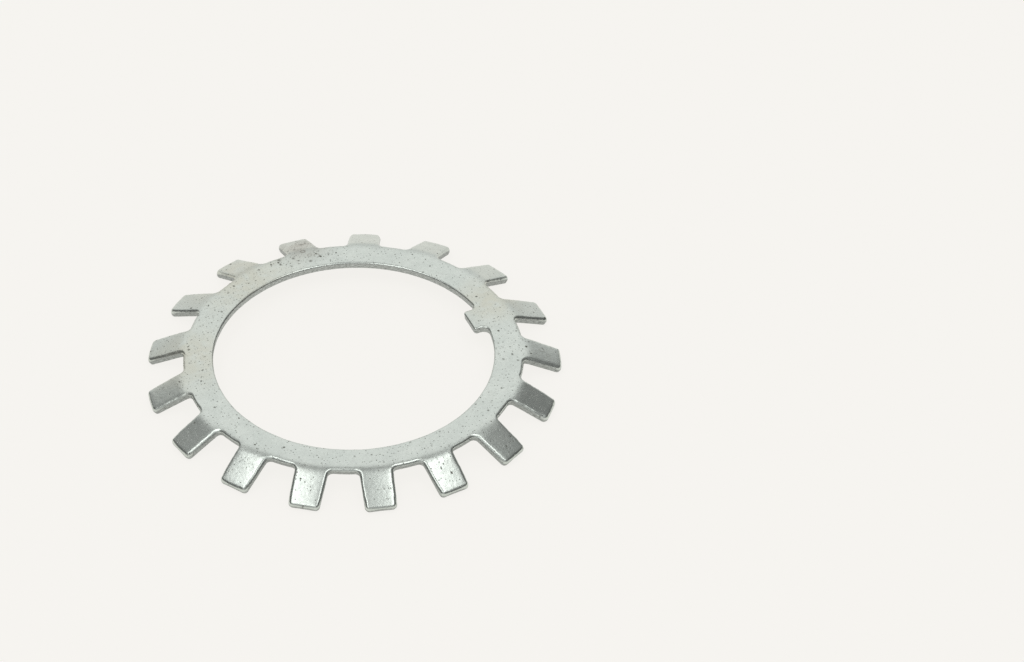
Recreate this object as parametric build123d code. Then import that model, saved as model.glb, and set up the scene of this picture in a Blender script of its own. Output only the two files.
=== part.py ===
from build123d import *
from collections import Counter
from math import cos, hypot, radians, sin
import os

# Lock washer for a bearing nut, pressed from one flat sheet of steel.
# Sizes are in millimetres and angles in degrees. The ring lies flat with its inner key
# along +X, and the washer stands on the tips of its tabs at Z = 0.

# Sheet, with square cut edges below and edges drawn down by the cutting die above
sheet_thickness = 1.5
upper_bevel = 0.4

# Flat ring
bore_diameter = 55.0
ring_width = 5.7

# Inner key, which slides in the keyway of a shaft
key_width = 5.75
key_length = 2.95
key_root_fillet = 1.2
key_tip_fillet = 0.7

# Outer tabs, one of which is bent into a slot of the nut
tab_count = 17
tab_length = 7.65  # past the ring, in plan, on the upper side
tab_root_width = 6.4
tab_tip_width = 6.1
tab_root_fillet = 1.05
tab_tip_fillet = 0.8
tab_turn = 0.9  # the tabs sit this far round from the key's centre line

# The bend, pressed over a cone
tab_angle = 24.7
bend_radius = 2.6  # on the inside of the bend
bend_inset = 1.1  # the bend starts this far inside the ring's rim

# Room by which a cutting shape passes the material that it cuts
CUT_MARGIN = 1.0
# How close a corner lies to the circle that it belongs to
TOUCH = 0.01
# The sheet's upper side lies flatter than this, and its cut faces stand steeper
STEEP_ANGLE = 45

bore_radius = bore_diameter / 2
rim_radius = bore_radius + ring_width
tip_radius = rim_radius + tab_length
key_radius = bore_radius - key_length
bend_start = rim_radius - bend_inset
top_bend_radius = bend_radius + sheet_thickness
bend_end = bend_start + top_bend_radius * sin(radians(tab_angle))
bend_drop = top_bend_radius * (1 - cos(radians(tab_angle)))
slope_length = (tip_radius - bend_end) / cos(radians(tab_angle))


def formed_sheet():
    """Turn the section of the pressed sheet once round: flat ring, bend and cone."""
    with BuildSketch(Plane.XZ) as section:
        with BuildLine():
            flat = Line((key_radius - CUT_MARGIN, 0), (bend_start, 0))
            bend = JernArc(flat @ 1, flat % 1, top_bend_radius, -tab_angle)
            PolarLine(bend @ 1, slope_length + CUT_MARGIN, -tab_angle)
            offset(amount=sheet_thickness, side=Side.RIGHT)
        make_face()
    return revolve(section.sketch, Axis.Z)


def tab_outline():
    """Draw one straight-sided tab in plan, from inside the ring to past its tip."""
    lean = (tab_root_width - tab_tip_width) / 2 / tab_length
    near, far = bend_start - CUT_MARGIN, tip_radius + CUT_MARGIN
    near_half = tab_tip_width / 2 + lean * (tip_radius - near)
    far_half = tab_tip_width / 2 + lean * (tip_radius - far)
    corners = [(near, -near_half), (far, -far_half), (far, far_half), (near, near_half)]
    return make_face(Polyline(*corners, close=True))


def plan_radius(point):
    """Distance from the washer's axis."""
    return hypot(point.X, point.Y)


def tab_spots():
    """Place the tabs round the washer."""
    return PolarLocations(0, tab_count, start_angle=tab_turn)


def blank_outline():
    """Draw the blank in plan: ring, tabs, bore and key, with their root fillets."""
    tab = tab_outline()
    blank = Circle(rim_radius) + [spot * tab for spot in tab_spots()]
    tab_roots = blank.vertices().filter_by(lambda v: abs(plan_radius(v) - rim_radius) < TOUCH)
    blank = fillet(tab_roots, tab_root_fillet) - Circle(bore_radius)

    key = Pos(bore_radius, 0) * Rectangle(2 * key_length, key_width)
    key = fillet(key.vertices().group_by(Axis.X)[0], key_tip_fillet)
    blank += key
    key_roots = blank.vertices().filter_by(
        lambda v: abs(plan_radius(v) - bore_radius) < TOUCH and abs(v.Y) < key_width
    )
    return fillet(key_roots, key_root_fillet)


def trim_tabs(washer):
    """Cut each tab to its length, square to the sloping sheet."""
    slope = Pos(bend_end, 0, -bend_drop) * Rot(0, tab_angle, 0)
    size = (2 * CUT_MARGIN, tab_tip_width + 2 * CUT_MARGIN, sheet_thickness + 2 * CUT_MARGIN)
    waste = Box(*size, align=(Align.MIN, Align.CENTER, Align.MAX))
    waste = slope * Pos(slope_length, 0, CUT_MARGIN) * waste
    return washer - [spot * waste for spot in tab_spots()]


def round_tab_corners(washer):
    """Round the two corners of each tab's tip, square to the sloping sheet."""
    corners = washer.edges().filter_by(
        lambda e: plan_radius(e.center()) > tip_radius - sheet_thickness
        and e.length < 1.2 * sheet_thickness
    )
    return fillet(corners, tab_tip_fillet)


def upper_cut_edges(washer):
    """List the edges between the sheet's upper side and its cut faces."""
    skin = washer.faces().filter_by(
        lambda f: f.normal_at(f.center()).Z > cos(radians(STEEP_ANGLE))
    )
    uses = Counter(edge for face in skin for edge in face.edges())
    return [edge for edge, count in uses.items() if count == 1]


def lock_washer():
    """Cut the formed sheet to the blank's outline, bevel it and set it on its tabs."""
    cutter = extrude(blank_outline(), amount=tip_radius, both=True)
    washer = round_tab_corners(trim_tabs(formed_sheet() & cutter))
    washer = chamfer(upper_cut_edges(washer), upper_bevel)
    washer = Pos(0, 0, -washer.bounding_box().min.Z) * washer.solid()
    washer.label = "lock_washer"
    return washer


os.makedirs("parts", exist_ok=True)
export_step(lock_washer(), "parts/lock_washer.step")
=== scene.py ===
import random
from bisect import bisect
from math import atan, atan2, ceil, cos, hypot, pi, radians, sin, sqrt, tan

import bpy
from mathutils import Matrix, Vector, noise
from mathutils.geometry import delaunay_2d_cdt

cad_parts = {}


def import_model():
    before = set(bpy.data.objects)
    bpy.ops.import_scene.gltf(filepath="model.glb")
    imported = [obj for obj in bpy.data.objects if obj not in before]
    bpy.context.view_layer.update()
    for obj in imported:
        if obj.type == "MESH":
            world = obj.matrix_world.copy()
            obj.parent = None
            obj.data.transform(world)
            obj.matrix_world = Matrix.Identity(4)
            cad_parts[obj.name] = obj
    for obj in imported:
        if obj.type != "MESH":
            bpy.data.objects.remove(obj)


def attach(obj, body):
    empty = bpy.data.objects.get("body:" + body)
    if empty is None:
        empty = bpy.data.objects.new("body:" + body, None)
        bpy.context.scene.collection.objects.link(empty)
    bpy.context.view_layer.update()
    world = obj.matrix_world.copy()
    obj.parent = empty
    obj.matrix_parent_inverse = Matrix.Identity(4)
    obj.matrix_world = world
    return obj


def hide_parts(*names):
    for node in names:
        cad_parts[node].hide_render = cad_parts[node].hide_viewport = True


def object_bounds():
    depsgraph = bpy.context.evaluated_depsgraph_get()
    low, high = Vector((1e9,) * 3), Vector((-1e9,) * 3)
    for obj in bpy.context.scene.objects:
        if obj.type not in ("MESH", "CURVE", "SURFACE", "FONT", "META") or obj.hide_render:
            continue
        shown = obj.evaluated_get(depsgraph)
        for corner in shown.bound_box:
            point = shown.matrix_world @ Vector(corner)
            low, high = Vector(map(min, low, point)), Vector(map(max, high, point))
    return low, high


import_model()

# A lock washer for a bearing nut: one piece of zinc-plated sheet steel.
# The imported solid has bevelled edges, a tight bend and mostly upright walls. The skin made here
# stands for it at nearly the same sizes. It has rolled edges, a soft bend, walls that lean with
# the bent sheet, and the small unevenness of the real pressing.

cad_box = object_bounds()

# Lengths are in millimetres, as in the part's source, until the mesh is made
MM = 0.001

# Sheet and edges
SHEET = 1.5
OUTER_ROLL = (0.74, 0.56)  # in and down: the upper edge, drawn down by the cutting die
BORE_ROLL = (0.46, 0.29)
BURR_ROUND = 0.16  # the lower edge
WALL_LEAN = 0.1  # the cut wall draws in by this much towards the underside
# The roll's lower half takes the cut walls' darker colour by this share: painted shade that dims
# the roll's highlight
ROLL_PAINTED_SHADE = 0.8  # at the roll's lower end, where the sheet has 0 and the cut wall 1

# Flat ring and inner key
BORE = 27.5
RIM = 33.45  # on the upper side: about 33.2 half-way down the leaning wall
KEY_HALF_WIDTH = 2.875
KEY_TIP = 24.55
KEY_ROOT_FILLET = 1.2
KEY_TIP_FILLET = 0.7

# Outer tabs
TABS = 17
TIP = 40.85
TAB_ROOT_HALF, TAB_TIP_HALF = 3.28, 3.13  # on the upper side: 0.05 less half-way down the wall
TAB_ROOT_FILLET = 1.05
TAB_TIP_FILLET = 0.95
TAB_TURN = radians(0.9)
PITCH = 2 * pi / TABS
# Near a tip's corners the roll is deeper, by a share of its depth. It deepens over the reach,
# and is at its deepest from this share of the reach before the corner.
CORNER_DROP, CORNER_REACH, CORNER_FULL = 0.75, 2.2, 0.15

# The bend, pressed over a cone, eases in and out on the upper side
SLOPE = radians(25.85)
BEND_START, BEND_END = 31.4, 35.4

RING_TOP = cad_box[1].z / MM

# Unevenness of the pressing, in layers of smooth noise: how much, how many waves to a
# millimetre, and the layer's own place in the noise
EDGE_WANDER = ((0.02, 0.6, 1.0), (0.014, 1.9, 4.3))
ROLL_CHANGE = ((0.25, 0.35, 6.5), (0.12, 1.7, 2.5))  # shares of the roll's size
ROLL_MOST = 1.15
WARP = ((0.012, 0.16, 3.0),)
WARP_END = 8.0  # past the bend's start, where the warp has faded out

# How far each tab stands above the cone, in degrees, from the key's tab round
TAB_LIFTS = (
    0.2, 1.5, 1.4, 0.3, 0.4, 1.8, 1.6, 0.8, 1.2, 1.0, 0.1, 0.2, 0.1, 0.0, 0.5, 0.0, 1.0,
)
LIFT_EASE = 1.5
TAB_TWIST = radians(0.8)
TWIST_EASE = 4.0
TWIST_LIFT = 0.5  # a twist lifts its tab too, by this share of its slope
TWIST_SEED = 9

# Mesh spacing
EDGE_STEP = 0.36
ARC_STEP = radians(9)
GRID_STEP = 0.55
TAB_GRID_STEP = 0.9 * GRID_STEP  # along a tab
GRID_CLEAR = 1.35 * OUTER_ROLL[0] + 0.3  # from an outline in to the grid
KEY_COLUMNS = 4  # on each side of the key's middle
ROLL_ROWS, WALL_ROWS, BURR_ROWS = 8, 4, 3
SAME_POINT = 1e-6


def upper_side(r):
    """Give the height below the ring's top, and the slope, of the sheet's upper side."""
    t = min(1.0, max(0.0, (r - BEND_START) / (BEND_END - BEND_START)))
    share = t * t * (3 - 2 * t)
    drop = (t ** 3 - t ** 4 / 2) * (BEND_END - BEND_START) + max(0.0, r - BEND_END)
    return -drop * tan(SLOPE), atan(share * tan(SLOPE))


def turned(point, angle):
    """Turn a plan point round the washer's axis."""
    x, y = point
    return x * cos(angle) - y * sin(angle), x * sin(angle) + y * cos(angle)


def arc(centre, radius, start, end):
    """List points along an arc, close enough for its curve to look smooth."""
    sweep = abs(end - start)
    count = max(2, ceil(sweep / ARC_STEP), ceil(sweep * radius / EDGE_STEP))
    angles = [start + (end - start) * i / count for i in range(count + 1)]
    return [(centre[0] + radius * cos(a), centre[1] + radius * sin(a)) for a in angles]


def spread(points):
    """Add points on the long straight runs of an open line."""
    out = [points[0]]
    for (x0, y0), (x1, y1) in zip(points, points[1:]):
        count = max(1, ceil(hypot(x1 - x0, y1 - y0) / EDGE_STEP))
        out += [(x0 + (x1 - x0) * i / count, y0 + (y1 - y0) * i / count)
                for i in range(1, count + 1)]
    return out


def mirrored(half):
    """Join half an outline, which ends on the X axis, to its mirror image."""
    return half[:-1] + [(x, -y) for x, y in reversed(half)]


def waves(x, y, layers, total=0.0):
    """Add layers of smooth noise at a plan point to a total."""
    for amount, fineness, layer in layers:
        total += amount * noise.noise(Vector((x * fineness, y * fineness, layer)))
    return total


def tab_half_width(u):
    """Give half a tab's width on the upper side, this far from the washer's centre."""
    return TAB_TIP_HALF + (TAB_ROOT_HALF - TAB_TIP_HALF) * (TIP - u) / (TIP - RIM)


def tab_line():
    """Draw a tab and half the rim on each side of it, in plan, along +X."""
    lean = (TAB_ROOT_HALF - TAB_TIP_HALF) / (TIP - RIM)
    stretch = hypot(1, lean)
    # The flank is the line through offset * (lean, 1) / stretch, along (1, -lean)
    offset = tab_half_width(0) / stretch + TAB_ROOT_FILLET
    along = sqrt((RIM + TAB_ROOT_FILLET) ** 2 - offset ** 2)
    centre = ((offset * lean + along) / stretch, (offset - along * lean) / stretch)
    rim_angle = atan2(centre[1], centre[0])
    flank_angle = atan2(-1, -lean)
    rim = arc((0, 0), RIM, PITCH / 2, rim_angle)
    root = arc(centre, TAB_ROOT_FILLET, rim_angle - pi, flank_angle)
    middle = TAB_TIP_HALF - TAB_TIP_FILLET
    corner = [(TIP + (x - TAB_TIP_FILLET) * cos(SLOPE), middle + y)
              for x, y in arc((0, 0), TAB_TIP_FILLET, pi / 2, 0)]
    half = rim[:-1] + root + corner + [(TIP, 0)]
    return mirrored(spread(half))


def outer_outline():
    """Go once round the tabs, anticlockwise."""
    line = tab_line()[::-1]
    points = []
    for tab in range(TABS):
        points += [turned(p, TAB_TURN + tab * PITCH) for p in line[:-1]]
    return points


def bore_outline():
    """Go once round the bore and its key, clockwise."""
    height = KEY_HALF_WIDTH + KEY_ROOT_FILLET
    centre = (sqrt((BORE - KEY_ROOT_FILLET) ** 2 - height ** 2), height)
    bore_angle = atan2(centre[1], centre[0])
    tip = (KEY_TIP + KEY_TIP_FILLET, KEY_HALF_WIDTH - KEY_TIP_FILLET)
    half = arc((0, 0), BORE, pi, bore_angle)[:-1]
    half += arc(centre, KEY_ROOT_FILLET, bore_angle, -pi / 2)
    half += arc(tip, KEY_TIP_FILLET, pi / 2, pi) + [(KEY_TIP, 0)]
    return mirrored(spread(half))[:-1]


class Station:
    """A place on an outline: the upper corner of the sheet and the directions there."""

    def __init__(self, before, here, after, wander):
        heading = Vector((after[0] - before[0], after[1] - before[1])).normalized()
        outward = Vector((heading.y, -heading.x))
        self.plan = Vector(here) + outward * wander
        radius = self.plan.length
        radial = self.plan / radius
        slope = upper_side(radius)[1]
        self.down = -Vector((*(radial * sin(slope)), cos(slope)))
        run = Vector((*heading, -tan(slope) * heading.dot(radial))).normalized()
        self.outward = self.down.cross(run)

    def at(self, inset, depth):
        """Give the point this far in from the wall and this far below the upper side."""
        x, y = self.plan - self.outward.xy * inset
        return Vector((x, y, upper_side(hypot(x, y))[0])) + self.down * depth


def stations(outline):
    """Make the stations of one closed outline, with its small unevenness."""
    count = len(outline)
    return [Station(outline[i - 1], (x, y), outline[(i + 1) % count], waves(x, y, EDGE_WANDER))
            for i, (x, y) in enumerate(outline)]


def tab_of(x, y):
    """Find the tab nearest a plan point, and the point's place along and across it."""
    tab = round((atan2(y, x) - TAB_TURN) / PITCH)
    along, across = turned((x, y), -(TAB_TURN + tab * PITCH))
    return tab % TABS, along, across


def tip_corner(x, y):
    """Give 1 at the corners of a tab's tip, fading to 0 away from them."""
    _, along, across = tab_of(x, y)
    share = 1.0
    for over in (along - TIP, abs(across) - TAB_TIP_HALF):
        t = min(1.0, max(0.0, 1 + CORNER_FULL + over / CORNER_REACH))
        share *= t * t * (3 - 2 * t)
    return share


def edge_section(roll, station):
    """List inset, depth and rawness down the edge, from the upper side to the underside."""
    x, y = station.plan
    size = min(waves(x, y, ROLL_CHANGE, 1.0), ROLL_MOST)
    top, bottom = roll[1] * size * (1 + CORNER_DROP * tip_corner(x, y)), SHEET - BURR_ROUND
    rows = []
    for k in range(ROLL_ROWS + 1):
        a = pi / 2 * k / ROLL_ROWS
        # On the roll's lower half the rawness is painted shade, which dims its highlight
        cut = max(0.0, 2 * k / ROLL_ROWS - 1) * ROLL_PAINTED_SHADE
        rows.append((roll[0] * size * (1 - sin(a)), top * (1 - cos(a)), cut))
    for k in range(1, WALL_ROWS + 1):
        rows.append((WALL_LEAN * k / WALL_ROWS, top + (bottom - top) * k / WALL_ROWS, 1.0))
    for k in range(1, BURR_ROWS + 1):
        a = pi / 2 * k / BURR_ROWS
        inset = WALL_LEAN + BURR_ROUND * (1 - cos(a))
        rows.append((inset, bottom + BURR_ROUND * sin(a), 1.0 - k / BURR_ROWS))
    return rows


class Skin:
    """Collects the vertices and faces of the washer's mesh."""

    def __init__(self):
        self.points, self.faces, self.wall = [], [], []

    def add(self, point, wall=(0.0, 0.0, 0.0)):
        """Keep a point, with its length along a cut wall, depth and rawness. Give its number."""
        self.points.append(point)
        self.wall.append(wall)
        return len(self.points) - 1


def add_edge(skin, outline, roll):
    """Add the rolled edge, wall and lower edge along one outline. Give its two borders."""
    ring = stations(outline)
    rows = []
    length = 0.0
    for i, station in enumerate(ring):
        length += (station.plan - ring[i - 1].plan).length if i else 0.0
        rows.append([skin.add(station.at(inset, depth), (length, depth, cut))
                     for inset, depth, cut in edge_section(roll, station)])
    for i, here in enumerate(rows):
        after = rows[(i + 1) % len(rows)]
        for k in range(len(here) - 1):
            skin.faces.append((here[k], here[k + 1], after[k + 1], after[k]))
    return [row[0] for row in rows], [row[-1] for row in rows]


def ring_grid():
    """Scatter plan points over the ring, in circles that are half a step out of line."""
    points = []
    width = RIM - BORE - 2 * GRID_CLEAR
    rings = round(width / GRID_STEP)
    for k in range(rings + 1):
        r = BORE + GRID_CLEAR + width * k / rings
        count = round(2 * pi * r / GRID_STEP)
        shift = 0.5 * (k % 2)
        points += [turned((r, 0), 2 * pi * (i + shift) / count) for i in range(count)]
    return points


def tab_grid():
    """Scatter plan points over the tabs."""
    first, last = RIM - GRID_CLEAR + GRID_STEP, TIP - GRID_CLEAR
    rows = round((last - first) / TAB_GRID_STEP)
    points = []
    for k in range(rows + 1):
        u = first + (last - first) * k / rows
        half = tab_half_width(u) - GRID_CLEAR
        across = round(2 * half / GRID_STEP)
        for j in range(across + 1):
            v = -half + 2 * half * j / across
            points += [turned((u, v), TAB_TURN + tab * PITCH) for tab in range(TABS)]
    return points


def key_grid():
    """Scatter plan points over the key."""
    points = []
    half = KEY_HALF_WIDTH - GRID_CLEAR
    u = KEY_TIP + GRID_CLEAR
    while u < BORE + GRID_CLEAR - GRID_STEP / 2:
        points += [(u, half * j / KEY_COLUMNS) for j in range(-KEY_COLUMNS, KEY_COLUMNS + 1)]
        u += GRID_STEP
    return points


def spans_void(plan, corners, ends):
    """True if a triangle lies off the sheet: between two tabs, or in the bore.

    The sheet is on the left of each border, so such a triangle has all its corners on one
    border, and they follow each other clockwise.
    """
    owners = {bisect(ends, i) for i in corners}
    if len(owners) > 1 or owners == {len(ends)}:
        return False
    a, b, c = (plan[i] for i in sorted(corners))
    return (b - a).cross(c - a) < 0


def fill(skin, borders, inner, depth, upward):
    """Close the sheet's upper side or underside between its borders."""
    plan, index, edges = [], [], []
    for border in borders:
        start = len(plan)
        index += border
        plan += [skin.points[i].xy for i in border]
        edges += [(start + i, start + (i + 1) % len(border)) for i in range(len(border))]
    for x, y in inner:
        height, slope = upper_side(hypot(x, y))
        radial = Vector((x, y)).normalized()
        point = Vector((x, y, height)) - Vector((*(radial * sin(slope)), cos(slope))) * depth
        plan.append(point.xy)
        index.append(skin.add(point))
    made = delaunay_2d_cdt(plan, edges, [], 0, SAME_POINT)
    source = [group[0] for group in made[3]]
    ends = [sum(map(len, borders[:k + 1])) for k in range(len(borders))]
    for face in made[2]:
        corners = [source[i] for i in face]
        if not spans_void(plan, corners, ends):
            corners = [index[i] for i in corners]
            skin.faces.append(tuple(corners if upward else reversed(corners)))


def settle(points):
    """Give the pressing its small unevenness: each tab lifts and twists a little."""
    dice = random.Random(TWIST_SEED)
    twists = [tan(TAB_TWIST * dice.uniform(-1, 1)) for _ in range(TABS)]
    settled = []
    for p in points:
        tab, along, across = tab_of(p.x, p.y)
        reach = max(0.0, along - BEND_START)
        ease = reach * reach / (reach + LIFT_EASE)
        lift = ease * (tan(radians(TAB_LIFTS[tab])) + abs(twists[tab]) * TWIST_LIFT)
        lift += min(1.0, ease / TWIST_EASE) * across * twists[tab]
        warp = waves(p.x, p.y, WARP) * (1 - min(1.0, reach / WARP_END))
        settled.append(Vector((p.x, p.y, p.z + lift + warp)))
    return settled


def washer_skin():
    """Make the washer's mesh."""
    skin = Skin()
    outer_top, outer_under = add_edge(skin, outer_outline(), OUTER_ROLL)
    bore_top, bore_under = add_edge(skin, bore_outline(), BORE_ROLL)
    inner = ring_grid() + tab_grid() + key_grid()
    fill(skin, [outer_top, bore_top], inner, 0.0, True)
    fill(skin, [outer_under, bore_under], inner, SHEET, False)
    points = settle(skin.points)
    lowest = min(p.z for p in points)
    mesh = bpy.data.meshes.new("washer_skin")
    mesh.from_pydata([(p.x * MM, p.y * MM, (p.z - lowest) * MM) for p in points], [], skin.faces)
    wall = mesh.attributes.new("wall", "FLOAT_VECTOR", "POINT")
    wall.data.foreach_set("vector", [value for place in skin.wall for value in place])
    mesh.shade_smooth()
    piece = bpy.data.objects.new("washer_skin", mesh)
    bpy.context.scene.collection.objects.link(piece)
    return piece


# Materials

# The colour sockets of a Mix node, which share their names with others
MIX_SHARE, MIX_A, MIX_B, MIX_RESULT = 0, 6, 7, 2


class Nodes:
    """Short ways to add and join the nodes of a material or a world."""

    def __init__(self, owner):
        owner.use_nodes = True
        self.tree = owner.node_tree

    def add(self, kind, **settings):
        """Add a node, and set its properties and its sockets by their names."""
        node = self.tree.nodes.new(kind)
        for key, value in settings.items():
            if key in node.bl_rna.properties:
                setattr(node, key, value)
            else:
                self.plug(value, node.inputs[key.replace("_", " ")])
        return node

    def plug(self, value, socket):
        """Join another node's output to a socket, or give the socket a fixed value."""
        if isinstance(value, bpy.types.NodeSocket):
            self.tree.links.new(value, socket)
        else:
            socket.default_value = value

    def math(self, operation, first, *others):
        """Work out the first value with each of the others in turn."""
        for other in others or (0.0,):
            node = self.add("ShaderNodeMath", operation=operation)
            self.plug(first, node.inputs[0])
            self.plug(other, node.inputs[1])
            first = node.outputs[0]
        return first

    def vector(self, operation, *values):
        """Work out a vector operation, and give the node's outputs."""
        node = self.add("ShaderNodeVectorMath", operation=operation)
        for value, socket in zip(values, node.inputs):
            self.plug(value, socket)
        return node.outputs

    def ramp(self, value, low, high, start=0.0, end=1.0):
        """Map low to high smoothly onto start to end."""
        node = self.add("ShaderNodeMapRange", interpolation_type="SMOOTHSTEP")
        for socket, number in zip(node.inputs[:5], (value, low, high, start, end)):
            self.plug(number, socket)
        return node.outputs[0]

    def mix(self, share, a, b):
        """Blend colour a into colour b by a share."""
        node = self.add("ShaderNodeMix", data_type="RGBA")
        self.plug(share, node.inputs[MIX_SHARE])
        self.plug(a, node.inputs[MIX_A])
        self.plug(b, node.inputs[MIX_B])
        return node.outputs[MIX_RESULT]

    def noise(self, place, scale, detail, roughness):
        """Give smooth noise around one half."""
        node = self.add("ShaderNodeTexNoise", Vector=place, Scale=scale, Detail=detail,
                        Roughness=roughness)
        return node.outputs["Fac"]

    def pattern(self, place, grain, span, levels):
        """Give noise of a certain grain, with a span of its values mapped onto levels."""
        return self.ramp(self.noise(place, *grain), *span, *levels)


# Colours, in linear light
PLATE_GREY, PLATE_PALE = (0.615, 0.662, 0.618, 1), (0.667, 0.712, 0.663, 1)
MOTTLED, GRAINED = (0.52, 0.545, 0.51, 1), (0.50, 0.535, 0.50, 1)
PITTED = (0.13, 0.13, 0.11, 1)
YELLOWED = (0.60, 0.61, 0.53, 1)
DULLED = (0.46, 0.465, 0.42, 1)
DRIED = (0.30, 0.295, 0.26, 1)
# The cut walls' streaks, where the metal tore and where it sheared
# Their dark levels are partly painted shade: a dark reflection painted into the walls' colour
OUTER_TORN_SHADED, OUTER_SHEARED_SHADED = (0.24, 0.254, 0.237, 1), (0.506, 0.534, 0.513, 1)
BORE_TORN_SHADED, BORE_SHEARED_SHADED = (0.28, 0.298, 0.279, 1), (0.594, 0.626, 0.603, 1)
BORE_SPAN = (31.0, 29.0)  # the bore's colours come in between these distances from the centre

# Patterns: the noise's waves to a millimetre, its detail and its roughness, then the span of
# its values that counts and the levels that the span's ends give
CLOUDS = ((0.22, 3.0, 0.5), (0.35, 0.7), (0.0, 1.0))
MOTTLE = ((1.3, 3.0, 0.6), (0.45, 0.7), (0.0, 0.15))
GRAIN = ((2.4, 2.0, 0.6), (0.35, 0.7), (0.0, 0.24))
BLOTCHES = ((0.4, 3.0, 0.5), (0.25, 0.6), (0.25, 1.0))
BREAKS = ((0.9, 2.0, 0.5), (0.35, 0.5), (0.0, 1.0))
CROWDING = ((0.13, 2.0, 0.5), (0.35, 0.65), (0.35, 0.60))
ROUGHNESS = ((1.3, 3.0, 0.6), (0.3, 0.75), (0.235, 0.305))

# The plating ends raggedly at a cut wall, whose streaks run down it
RAGGED, RAGGED_SHARE = (2.5, 2.0, 0.5), 0.3
CUT_SPAN = (0.35, 0.85)
STREAK_STRETCH = (1.5, 6.0, 0.0)
STREAKS, STREAK_SPAN = (1.0, 3.0, 0.7), (0.35, 0.65)

# Added roughness, and bumps in millimetres
PIT_ROUGHNESS, CUT_ROUGHNESS = 0.2, 0.2
RIPPLES, RIPPLE_HEIGHT = (1.5, 2.0, 0.55), 0.018
PIT_DEPTH, SCORE_DEPTH = 0.03, 0.03

# Specks in millimetres: the size of the cells that hold one each, and the least and most radius
FINE_SPECKS = (0.65, 0.04, 0.13)
COARSE_SPECKS, COARSE_SHARE = (1.6, 0.07, 0.25), 0.5
SPECK_EDGE = (-0.01, 0.06)
SPECK_DARKNESS = (0.35, 0.9)
# Noise that makes specks and pits ragged: waves to a millimetre, and how far it moves them
WOBBLE, SPECK_WOBBLE, PIT_WOBBLE = 2.2, 0.35, 0.7

# Marks on the finish: place and reach in millimetres, and colour or share of specks
STAINS = [
    ((-30.0, 12.0, 5.0), 14.0, YELLOWED),
    ((-12.0, 30.0, 5.0), 16.0, YELLOWED),
    ((30.6, 4.0, 5.0), 10.0, YELLOWED),
    ((3.0, 35.5, 4.0), 9.0, DULLED),
]
SPECK_CROWDS = [
    ((2.5, 34.0, 4.5), 12.0, 0.9),
    ((-22.0, 22.0, 4.5), 20.0, 0.2),
    ((31.0, -8.0, 5.0), 14.0, 0.25),
    ((-3.0, -29.0, 5.0), 9.0, 0.3),
]
# Deeper pits, each at an angle and a distance from the centre, with a radius
PITS = [
    (-27, 29.3, 0.30), (-24, 31.0, 0.32), (-43, 30.7, 0.24), (-17, 34.6, 0.26),
    (154, 32.4, 0.34), (169, 34.6, 0.26), (172, 37.0, 0.20), (169, 30.2, 0.24),
    (155, 27.9, 0.26), (104, 32.0, 0.36), (87.8, 34.8, 0.30), (88.7, 35.4, 0.22),
    (86.9, 34.3, 0.22), (84.6, 29.6, 0.38), (83.1, 29.1, 0.24), (80.4, 30.5, 0.30),
    (77.1, 30.8, 0.30), (82.1, 32.4, 0.26), (80.4, 32.2, 0.26), (95.8, 31.0, 0.36),
    (92.6, 29.6, 0.28), (90.2, 31.6, 0.40), (88.9, 30.5, 0.26), (95.2, 32.4, 0.50),
    (83.2, 37.0, 0.36), (84.5, 37.0, 0.36), (-103.6, 37.3, 0.22), (-108.4, 37.9, 0.22),
    (-103.0, 39.2, 0.20), (-104.3, 34.7, 0.16), (-102.1, 37.3, 0.17), (-101.4, 37.4, 0.17),
    (-100.8, 37.3, 0.15),
]
PIT_REACH, PIT_DARKNESS = 1.3, 0.9  # a pit fades out at this many times its radius
# Rings left by dried drops, in the same way, and how dark they are
DROPS = [
    (-19.3, 36.9, 0.55, 0.35), (-21.0, 38.1, 0.4, 0.35), (-16.9, 39.2, 0.4, 0.35),
    (85.7, 33.1, 0.45, 0.9), (84.0, 38.0, 1.2, 0.8), (81.6, 30.9, 0.5, 0.6),
    (84.0, 31.4, 0.4, 0.5),
]
DROP_LINE = (0.25, 0.05)  # half the ring's line, from its edge in to where it is full


def place_in_mm(nodes):
    """Give the place on the washer in millimetres."""
    where = nodes.add("ShaderNodeTexCoord").outputs["Object"]
    return nodes.vector("DIVIDE", where, (MM, MM, MM))["Vector"]


def on_top(angle, distance):
    """Give the place on the upper side at an angle in degrees and a distance from the centre."""
    x, y = turned((distance, 0), radians(angle))
    return x, y, RING_TOP + upper_side(distance)[0]


def spot(nodes, place, centre, radius):
    """Fade from 1 at a place on the washer to 0 at this distance from it."""
    return nodes.ramp(nodes.vector("DISTANCE", place, centre)["Value"], radius, 0.0)


def specks(nodes, place, share, cell, smallest, largest):
    """Mark ragged round specks in a share of the cells."""
    cells = nodes.add("ShaderNodeTexVoronoi", voronoi_dimensions="2D", Vector=place,
                      Scale=1 / cell)
    dice = nodes.add("ShaderNodeSeparateColor", Color=cells.outputs["Color"]).outputs
    size = nodes.ramp(dice["Green"], 0.0, 1.0, smallest / cell, largest / cell)
    inside = nodes.math("SUBTRACT", size, cells.outputs["Distance"])
    soft = nodes.ramp(inside, SPECK_EDGE[0] / cell, SPECK_EDGE[1] / cell)
    chosen = nodes.math("LESS_THAN", dice["Red"], share)
    darkness = nodes.ramp(dice["Blue"], 0.0, 1.0, *SPECK_DARKNESS)
    return nodes.math("MULTIPLY", soft, chosen, darkness)


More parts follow.
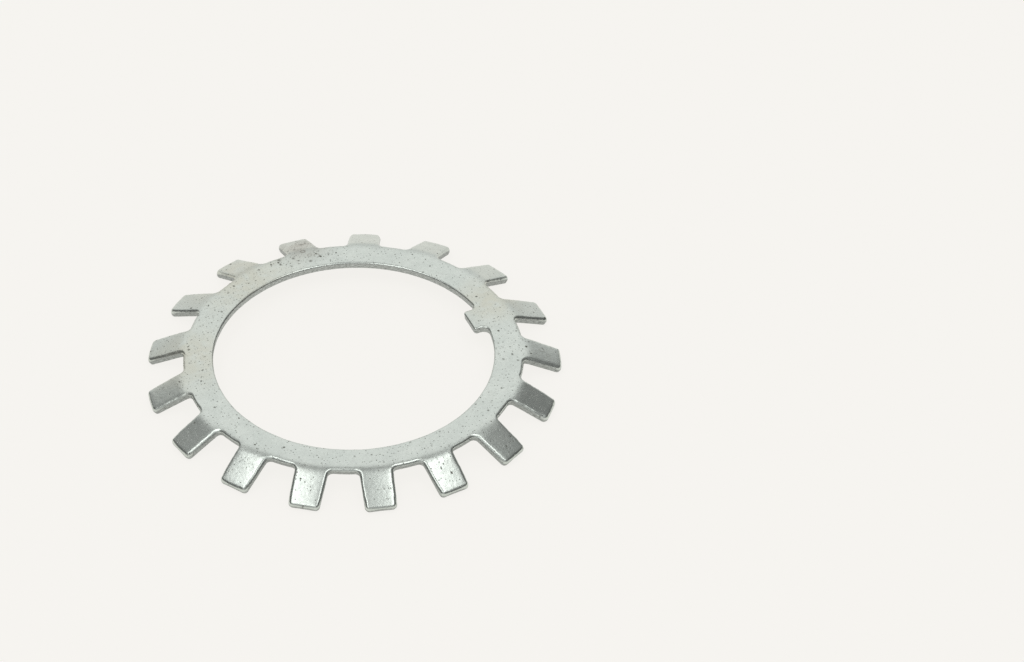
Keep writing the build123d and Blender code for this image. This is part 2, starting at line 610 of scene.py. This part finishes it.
def all_specks(nodes, place):
    """Scatter fine and coarse specks, crowded in places, and the deeper pits."""
    wobble = nodes.add("ShaderNodeTexNoise", Vector=place, Scale=WOBBLE).outputs["Color"]
    shaken = nodes.vector("MULTIPLY_ADD", wobble, (SPECK_WOBBLE,) * 3, place)["Vector"]
    crowd = nodes.pattern(place, *CROWDING)
    for centre, radius, share in SPECK_CROWDS:
        more = nodes.math("MULTIPLY", spot(nodes, place, centre, radius), share)
        crowd = nodes.math("ADD", crowd, more)
    fine = specks(nodes, shaken, crowd, *FINE_SPECKS)
    fewer = nodes.math("MULTIPLY", crowd, COARSE_SHARE)
    marks = nodes.math("MAXIMUM", fine, specks(nodes, shaken, fewer, *COARSE_SPECKS))
    push = nodes.vector("MULTIPLY_ADD", wobble, (PIT_WOBBLE,) * 3, (-PIT_WOBBLE / 2,) * 3)
    pushed = nodes.vector("ADD", place, push["Vector"])["Vector"]
    for angle, distance, radius in PITS:
        pit = spot(nodes, pushed, on_top(angle, distance), radius * PIT_REACH)
        marks = nodes.math("MAXIMUM", marks, nodes.math("MULTIPLY", pit, PIT_DARKNESS))
    return marks


def plate_colour(nodes, place, pits):
    """Cloud, stain and speck the plating."""
    plate = nodes.mix(nodes.pattern(place, *CLOUDS), PLATE_GREY, PLATE_PALE)
    plate = nodes.mix(nodes.pattern(place, *MOTTLE), plate, MOTTLED)
    plate = nodes.mix(nodes.pattern(place, *GRAIN), plate, GRAINED)
    blotches = nodes.pattern(place, *BLOTCHES)
    for centre, radius, tint in STAINS:
        stain = nodes.math("MULTIPLY", spot(nodes, place, centre, radius), blotches)
        plate = nodes.mix(stain, plate, tint)
    broken = nodes.pattern(place, *BREAKS)
    for angle, distance, radius, share in DROPS:
        away = nodes.vector("DISTANCE", place, on_top(angle, distance))["Value"]
        off = nodes.math("ABSOLUTE", nodes.math("SUBTRACT", away, radius))
        ring = nodes.math("MULTIPLY", nodes.ramp(off, *DROP_LINE, 0.0, share), broken)
        plate = nodes.mix(ring, plate, DRIED)
    return nodes.mix(pits, plate, PITTED)


def wall_colour_and_shade(nodes, place, streaks):
    """Streak the cut walls, lighter in the bore, in dark colours that are partly painted shade.
    """
    in_bore = nodes.ramp(nodes.vector("LENGTH", place)["Value"], *BORE_SPAN)
    torn = nodes.mix(in_bore, OUTER_TORN_SHADED, BORE_TORN_SHADED)
    sheared = nodes.mix(in_bore, OUTER_SHEARED_SHADED, BORE_SHEARED_SHADED)
    return nodes.mix(nodes.ramp(streaks, *STREAK_SPAN), torn, sheared)


def zinc_plate():
    """Make the finish: dull bright plating with specks, stains and raw cut walls, in part painted
    shade.
    """
    material = bpy.data.materials.new("zinc_plate")
    nodes = Nodes(material)
    shader = nodes.tree.nodes["Principled BSDF"]
    place = place_in_mm(nodes)
    pits = all_specks(nodes, place)

    wall = nodes.add("ShaderNodeAttribute", attribute_name="wall").outputs["Vector"]
    edge = nodes.add("ShaderNodeSeparateXYZ", Vector=wall).outputs["Z"]
    ragged = nodes.math("MULTIPLY", nodes.noise(place, *RAGGED), RAGGED_SHARE)
    # On the roll's lower half this mask lays painted shade: the walls' darker colour dims the
    # roll's highlight
    cut = nodes.ramp(nodes.math("ADD", edge, ragged), *CUT_SPAN)
    stretch = nodes.add("ShaderNodeMapping", Vector=wall, Scale=STREAK_STRETCH).outputs[0]
    streaks = nodes.noise(stretch, *STREAKS)
    plate = plate_colour(nodes, place, pits)
    colour = nodes.mix(cut, plate, wall_colour_and_shade(nodes, place, streaks))
    nodes.plug(colour, shader.inputs["Base Color"])

    rough = nodes.math("ADD", nodes.pattern(place, *ROUGHNESS),
                       nodes.math("MULTIPLY", pits, PIT_ROUGHNESS),
                       nodes.math("MULTIPLY", cut, CUT_ROUGHNESS))
    nodes.plug(rough, shader.inputs["Roughness"])
    shader.inputs["Metallic"].default_value = 1.0

    height = nodes.math("MULTIPLY", nodes.noise(place, *RIPPLES), RIPPLE_HEIGHT)
    height = nodes.math("SUBTRACT", height, nodes.math("MULTIPLY", pits, PIT_DEPTH))
    height = nodes.math("ADD", height, nodes.math("MULTIPLY", streaks, cut, SCORE_DEPTH))
    height = nodes.math("MULTIPLY", height, MM)
    bump = nodes.add("ShaderNodeBump", Height=height, Distance=1.0).outputs[0]
    nodes.plug(bump, shader.inputs["Normal"])
    return material


# Stage, light and camera, in metres

BACKGROUND = (0.922, 0.905, 0.871)
FLOOR_SIZE = 6.0
SHADOW_SHARE = 0.08  # how much of the floor's shadow shows


def floor_paint():
    """Make a paint that shows its plain colour and a little of the washer's shadow."""
    paint = bpy.data.materials.new("floor_paint")
    nodes = Nodes(paint)
    matte = nodes.add("ShaderNodeBsdfDiffuse", Color=(*BACKGROUND, 1)).outputs[0]
    glow = nodes.add("ShaderNodeEmission", Color=(*BACKGROUND, 1)).outputs[0]
    ray = nodes.add("ShaderNodeLightPath").outputs
    seen = nodes.math("MAXIMUM", ray["Is Camera Ray"], ray["Is Glossy Ray"],
                      ray["Is Transmission Ray"])
    blend = nodes.add("ShaderNodeMixShader")
    nodes.plug(nodes.math("MULTIPLY", seen, 1 - SHADOW_SHARE), blend.inputs[0])
    nodes.plug(matte, blend.inputs[1])
    nodes.plug(glow, blend.inputs[2])
    nodes.plug(blend.outputs[0], nodes.tree.nodes["Material Output"].inputs["Surface"])
    nodes.tree.nodes.remove(nodes.tree.nodes["Principled BSDF"])
    return paint


def floor():
    """Lay a plain pale floor under the tabs' tips."""
    half = FLOOR_SIZE / 2
    mesh = bpy.data.meshes.new("floor")
    mesh.from_pydata([(-half, -half, 0), (half, -half, 0), (half, half, 0), (-half, half, 0)],
                     [], [(0, 1, 2, 3)])
    mesh.materials.append(floor_paint())
    stage = bpy.data.objects.new("floor", mesh)
    bpy.context.scene.collection.objects.link(stage)


# The camera, from the washer's outline in the photograph
PHOTO_SIZE = (1024, 662)
RING_CENTRE_PIXEL = (353.7, 353.25)
CAMERA_AZIMUTH = radians(-21.16)
CAMERA_ELEVATION = radians(41.38)
CAMERA_ROLL = radians(-1.78)
CAMERA_DISTANCE = 890.5 * MM
LENS, SENSOR = 160.0, 36.0


def studio_axes():
    """Give the camera's directions right, away and up, level with the floor."""
    a = CAMERA_AZIMUTH
    return Vector((cos(a), sin(a), 0)), Vector((-sin(a), cos(a), 0)), Vector((0, 0, 1))


def camera():
    """Look at the ring from where the photograph was taken."""
    right, away, up = studio_axes()
    forward = away * cos(CAMERA_ELEVATION) - up * sin(CAMERA_ELEVATION)
    down = forward.cross(right)
    roll = Matrix.Rotation(CAMERA_ROLL, 3, "Z")
    focal = LENS / SENSOR * PHOTO_SIZE[0]
    off = [(p - size / 2) / focal for p, size in zip(RING_CENTRE_PIXEL, PHOTO_SIZE)]
    swing = Vector((0, 0, 1)).rotation_difference(Vector((*off, 1))).to_matrix()
    axes = swing @ roll @ Matrix((right, down, forward))
    data = bpy.data.cameras.new("camera")
    data.lens, data.sensor_width = LENS, SENSOR
    made = bpy.data.objects.new("camera", data)
    bpy.context.scene.collection.objects.link(made)
    turn = Matrix((axes[0], -axes[1], -axes[2])).transposed()
    place = Vector((0, 0, RING_TOP * MM)) - forward * CAMERA_DISTANCE
    made.matrix_world = Matrix.Translation(place) @ turn.to_4x4()
    bpy.context.scene.camera = made


# Long soft lamps over the washer, which run away from the camera: how far to the right, the
# near and the far end, the width and the radiance
LAMP_HEIGHT = 1.0
LAMPS = [
    ("strip_right", 0.305, -0.5, 0.25, 0.29, 1.97),
    ("strip_left", -0.385, -0.8, 0.25, 0.34, 1.78),
]


def strip_light(name, sideways, near, far, width, radiance):
    """Hang one long soft lamp."""
    right, away, up = studio_axes()
    data = bpy.data.lights.new(name, "AREA")
    data.shape = "RECTANGLE"
    length = far - near
    data.size, data.size_y = width, length
    data.energy = radiance * pi * width * length
    lamp = bpy.data.objects.new(name, data)
    bpy.context.scene.collection.objects.link(lamp)
    centre = right * sideways + away * (near + far) / 2 + up * LAMP_HEIGHT
    turn = Matrix((right, away, up)).transposed()
    lamp.matrix_world = Matrix.Translation(centre) @ turn.to_4x4()


# The studio's walls and ceiling, by a ray's direction: x to the right, y away from the camera
# and z up, along a ray of length 1. A span runs from where a part of the studio begins to where
# it is at its full level, and a level of 1 is white.
BACKDROP_RISE = (0.11, 0.08)  # below it, the floor's colour goes on
BACK_RISE, BACK_LEVELS, BACK_TOP = (0.30, 0.62), (0.77, 1.03), (0.90, 0.80)
BACK_SIDE, BACK_SHIFT, BACK_DEPTH = (1.01, 0.62), 0.06, 0.01
FRONT_DEPTH, FRONT_LEVELS = (-0.1, -0.45), (0.0, 0.52)
FRONT_SIDE, FRONT_SHIFT = (0.6, 0.35), 0.15
CEILING_RISE, CEILING_LEVELS = (0.60, 0.75), (0.24, 0.31)
ZENITH_RISE, ZENITH_LEVELS = (0.85, 0.97), (0.0, 0.54)
GLOW_RISE, GLOW_LEFT, GLOW_RIGHT = (0.7, 0.8), (0.0, 0.3), (0.545, 0.475)
GLOW_LEVELS = (0.0, 0.18)
# Shares of the ceiling's level, at both sides alike and then from left to right
SIDE_SPAN, SIDE_SHARES = (0.85, 0.6), (0.55, 1.0)
ACROSS_SPAN, ACROSS_SHARES = (-0.6, 0.6), (1.12, 0.94)
FILL = 0.75  # on matt surfaces


def back_wall(nodes, x, y, z):
    """Give the level of the pale back wall, which has a top and two sides."""
    side = nodes.math("ABSOLUTE", nodes.math("ADD", x, BACK_SHIFT))
    side = nodes.math("DIVIDE", side, nodes.math("MAXIMUM", y, BACK_DEPTH))
    return nodes.math("MULTIPLY", nodes.ramp(z, *BACK_RISE, *BACK_LEVELS),
                      nodes.ramp(z, *BACK_TOP), nodes.ramp(side, *BACK_SIDE))


def front_wall(nodes, x, y):
    """Give the level of the grey wall behind the camera."""
    side = nodes.math("ABSOLUTE", nodes.math("ADD", x, FRONT_SHIFT))
    return nodes.math("MULTIPLY", nodes.ramp(y, *FRONT_DEPTH, *FRONT_LEVELS),
                      nodes.ramp(side, *FRONT_SIDE))


def ceiling(nodes, x, z):
    """Give the level of the darker ceiling, which glows beside the right lamp."""
    glow = nodes.math("MULTIPLY", nodes.ramp(z, *GLOW_RISE),
                      nodes.ramp(x, *GLOW_RIGHT, *GLOW_LEVELS), nodes.ramp(x, *GLOW_LEFT))
    level = nodes.math("ADD", nodes.ramp(z, *CEILING_RISE, *CEILING_LEVELS), glow)
    level = nodes.math("MAXIMUM", level, nodes.ramp(z, *ZENITH_RISE, *ZENITH_LEVELS))
    sides = nodes.ramp(nodes.math("ABSOLUTE", x), *SIDE_SPAN, *SIDE_SHARES)
    return nodes.math("MULTIPLY", level, sides, nodes.ramp(x, *ACROSS_SPAN, *ACROSS_SHARES))


def world():
    """Light the washer with a pale back wall and a darker ceiling."""
    sky = bpy.data.worlds.new("studio")
    bpy.context.scene.world = sky
    nodes = Nodes(sky)
    background = nodes.tree.nodes["Background"]
    background.inputs["Color"].default_value = (1, 1, 1, 1)
    where = nodes.add("ShaderNodeTexCoord").outputs["Generated"]
    x, y, z = (nodes.vector("DOT_PRODUCT", where, axis)["Value"] for axis in studio_axes())
    ray = nodes.add("ShaderNodeLightPath").outputs
    fill_light = nodes.math("MULTIPLY", ray["Is Diffuse Ray"], FILL)
    level = nodes.math("MAXIMUM", ceiling(nodes, x, z), back_wall(nodes, x, y, z),
                       front_wall(nodes, x, y), fill_light)
    nodes.plug(level, background.inputs["Strength"])
    backdrop = nodes.add("ShaderNodeBackground", Color=(*BACKGROUND, 1))
    blend = nodes.add("ShaderNodeMixShader")
    nodes.plug(nodes.ramp(z, *BACKDROP_RISE), blend.inputs[0])
    nodes.plug(background.outputs[0], blend.inputs[1])
    nodes.plug(backdrop.outputs[0], blend.inputs[2])
    nodes.plug(blend.outputs[0], nodes.tree.nodes["World Output"].inputs["Surface"])


def build():
    """Make the washer, its finish and the studio round it."""
    piece = washer_skin()
    piece.data.materials.append(zinc_plate())
    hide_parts("lock_washer")
    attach(piece, "root")
    floor()
    world()
    for lamp in LAMPS:
        strip_light(*lamp)
    camera()
    bpy.context.scene.view_settings.view_transform = "Standard"


build()
